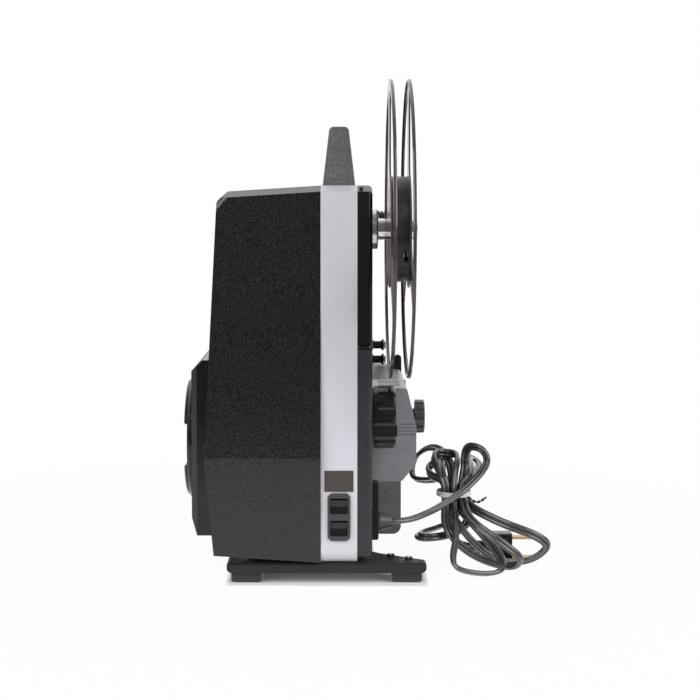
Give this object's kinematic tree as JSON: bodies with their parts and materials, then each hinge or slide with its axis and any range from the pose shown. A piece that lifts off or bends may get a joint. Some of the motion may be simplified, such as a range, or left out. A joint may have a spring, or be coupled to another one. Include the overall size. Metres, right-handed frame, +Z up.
{
  "type": "movie projector",
  "caption": "Table-top movie projector with a take-up reel, spindles, lamphouse, lens, knobs, rocker switches, carry handle, tilt leg and a tied power cord.",
  "frame": {"origin": "on the table under the middle of the projector's box, power cord left out", "axes": "+X to the operator's side, +Y the way the picture is thrown, +Z up"},
  "size_m": [0.2281, 0.307, 0.299],
  "materials": {
    "silver_paint": "satin silver paint",
    "cover_grey": "satin dark grey paint",
    "panel_black": "gloss black",
    "panel_grey": "fine matt dark grey",
    "handle_grey": "grained dark grey",
    "bare_steel": "turned steel",
    "bright_chrome": "polished",
    "reel_black": "gloss black",
    "reel_rim": "dark brown lacquer",
    "roller_black": "gloss black",
    "guide_ivory": "pale grey",
    "knob_black": "gloss black",
    "lamphouse_grey": "satin grey paint",
    "base_grey": "textured dark grey paint",
    "rubber_black": "matt black",
    "label_brown": "bare dark plate",
    "lens_glass": "coated glass",
    "lens_black": "black anodised",
    "cord_black": "gloss black",
    "brass_blade": "bare brass",
    "copper_motor": "bare",
    "aluminium_bare": "satin"
  },
  "bodies": {
    "machine": {"chassis_band": "silver_paint", "mechanism_plate": "aluminium_bare", "motor_cover": "cover_grey", "fan_cowl": "panel_grey", "vent_grille": "panel_grey", "upper_side_panel": "panel_black", "lower_side_panel": "panel_grey", "carry_handle": "handle_grey", "spindle_flanges": "silver_paint", "flange_screws": "bare_steel", "roller_pins": "bare_steel", "film_deflector": "guide_ivory", "lamphouse_cover": "lamphouse_grey", "film_channel": "panel_grey", "lamp_reflector": "bright_chrome", "lamp_bulb": "lens_glass", "lamp_bracket": "aluminium_bare", "condenser_lens": "lens_glass", "gate_block": "aluminium_bare", "lever_pin": "bare_steel", "lens_carrier": "aluminium_bare", "cord_inlet_strip": "panel_grey", "strain_relief": "rubber_black", "switch_escutcheon": "panel_grey", "switch_case": "panel_grey", "label_plate": "label_brown", "base_plate": "base_grey", "base_screws": "knob_black", "rubber_feet": "rubber_black", "motor_case": "copper_motor", "drive_belt": "rubber_black", "transformer": "copper_motor", "power_cord_lead": "cord_black", "power_cord_hank": "cord_black", "power_plug": "cord_black", "plug_blades": "brass_blade", "twist_tie": "label_brown"},
    "takeup_reel": {"takeup_spindle": "bright_chrome", "reel_inner_flange": "reel_rim", "reel_hub": "reel_black", "reel_outer_flange": "reel_rim"},
    "supply_spindle": {"supply_spindle": "bright_chrome", "supply_collar": "rubber_black"},
    "guide_roller_one": {"guide_roller_one": "roller_black"},
    "guide_roller_two": {"guide_roller_two": "roller_black"},
    "control_knob": {"control_knob": "knob_black"},
    "lamp_cover_knob": {"lamp_cover_knob": "knob_black"},
    "upper_rocker": {"upper_rocker": "knob_black"},
    "lower_rocker": {"lower_rocker": "knob_black"},
    "film_sprocket": {"film_sprocket": "guide_ivory"},
    "lens": {"lens_barrel": "lens_black", "lens_glasses": "lens_glass"},
    "focus_knob": {"focus_knob": "knob_black"},
    "gate_lever": {"gate_lever": "knob_black"},
    "pressure_plate": {"pressure_plate": "bare_steel"},
    "tilt_leg": {"tilt_leg": "bare_steel"},
    "motor_rotor": {"motor_shaft": "bare_steel"},
    "main_shaft": {"main_shaft": "bare_steel"},
    "shutter": {"shutter": "aluminium_bare"}
  },
  "joints": [
    {"name": "takeup_spin", "type": "hinge", "parent": "machine", "child": "takeup_reel", "pos_m": [0.05688, -0.0645, 0.21], "axis": [1, 0, 0], "continuous": true},
    {"name": "supply_spin", "type": "hinge", "parent": "machine", "child": "supply_spindle", "pos_m": [0.05688, 0.1255, 0.21], "axis": [1, 0, 0], "continuous": true},
    {"name": "roller_one_spin", "type": "hinge", "parent": "machine", "child": "guide_roller_one", "pos_m": [0.04587, -0.0255, 0.137], "axis": [1, 0, 0], "continuous": true},
    {"name": "roller_two_spin", "type": "hinge", "parent": "machine", "child": "guide_roller_two", "pos_m": [0.04587, -0.0255, 0.1279], "axis": [1, 0, 0], "continuous": true},
    {"name": "control_turn", "type": "hinge", "parent": "machine", "child": "control_knob", "pos_m": [0.04888, -0.0615, 0.0967], "axis": [1, 0, 0], "range_deg": [-60, 60]},
    {"name": "lamp_clamp_turn", "type": "hinge", "parent": "machine", "child": "lamp_cover_knob", "pos_m": [0.07187, -0.0105, 0.09], "axis": [1, 0, 0], "range_deg": [0, 360]},
    {"name": "upper_switch_rock", "type": "hinge", "parent": "machine", "child": "upper_rocker", "pos_m": [0.02187, -0.0821, 0.0476], "axis": [1, 0, 0], "range_deg": [-7, 7]},
    {"name": "lower_switch_rock", "type": "hinge", "parent": "machine", "child": "lower_rocker", "pos_m": [0.02187, -0.0821, 0.0344], "axis": [1, 0, 0], "range_deg": [-7, 7]},
    {"name": "sprocket_spin", "type": "hinge", "parent": "machine", "child": "film_sprocket", "pos_m": [0.05187, 0.0805, 0.04], "axis": [1, 0, 0], "continuous": true},
    {"name": "lens_slide", "type": "slide", "parent": "machine", "child": "lens", "axis": [0, 1, 0], "range_m": [0, 0.008]},
    {"name": "focus_turn", "type": "hinge", "parent": "machine", "child": "focus_knob", "pos_m": [0.06988, 0.11, 0.069], "axis": [1, 0, 0], "range_deg": [-169, 0]},
    {"name": "gate_lever_turn", "type": "hinge", "parent": "machine", "child": "gate_lever", "pos_m": [0.06187, 0.0819, 0.103], "axis": [1, 0, 0], "range_deg": [-35, 0]},
    {"name": "pressure_slide", "type": "slide", "parent": "machine", "child": "pressure_plate", "axis": [0, 1, 0], "range_m": [0, 0.004]},
    {"name": "tilt_leg_slide", "type": "slide", "parent": "machine", "child": "tilt_leg", "axis": [0, 0, -1], "range_m": [0, 0.025]},
    {"name": "motor_spin", "type": "hinge", "parent": "machine", "child": "motor_rotor", "pos_m": [-0.00813, 0.0165, 0.078], "axis": [1, 0, 0], "continuous": true},
    {"name": "main_spin", "type": "hinge", "parent": "machine", "child": "main_shaft", "pos_m": [0.02187, 0.0385, 0.083], "axis": [1, 0, 0], "continuous": true},
    {"name": "shutter_spin", "type": "hinge", "parent": "machine", "child": "shutter", "pos_m": [0.03388, 0.0545, 0.083], "axis": [0, 1, 0], "continuous": true}
  ],
  "couplings": [
    {"joint": "main_spin", "follows": "motor_spin", "ratio": 0.32143},
    {"joint": "shutter_spin", "follows": "motor_spin", "ratio": 0.32143},
    {"joint": "sprocket_spin", "follows": "motor_spin", "ratio": 0.026786},
    {"joint": "focus_turn", "follows": "lens_slide", "rad_per_m": -368.7},
    {"joint": "gate_lever_turn", "follows": "pressure_slide", "rad_per_m": -152.7}
  ]
}
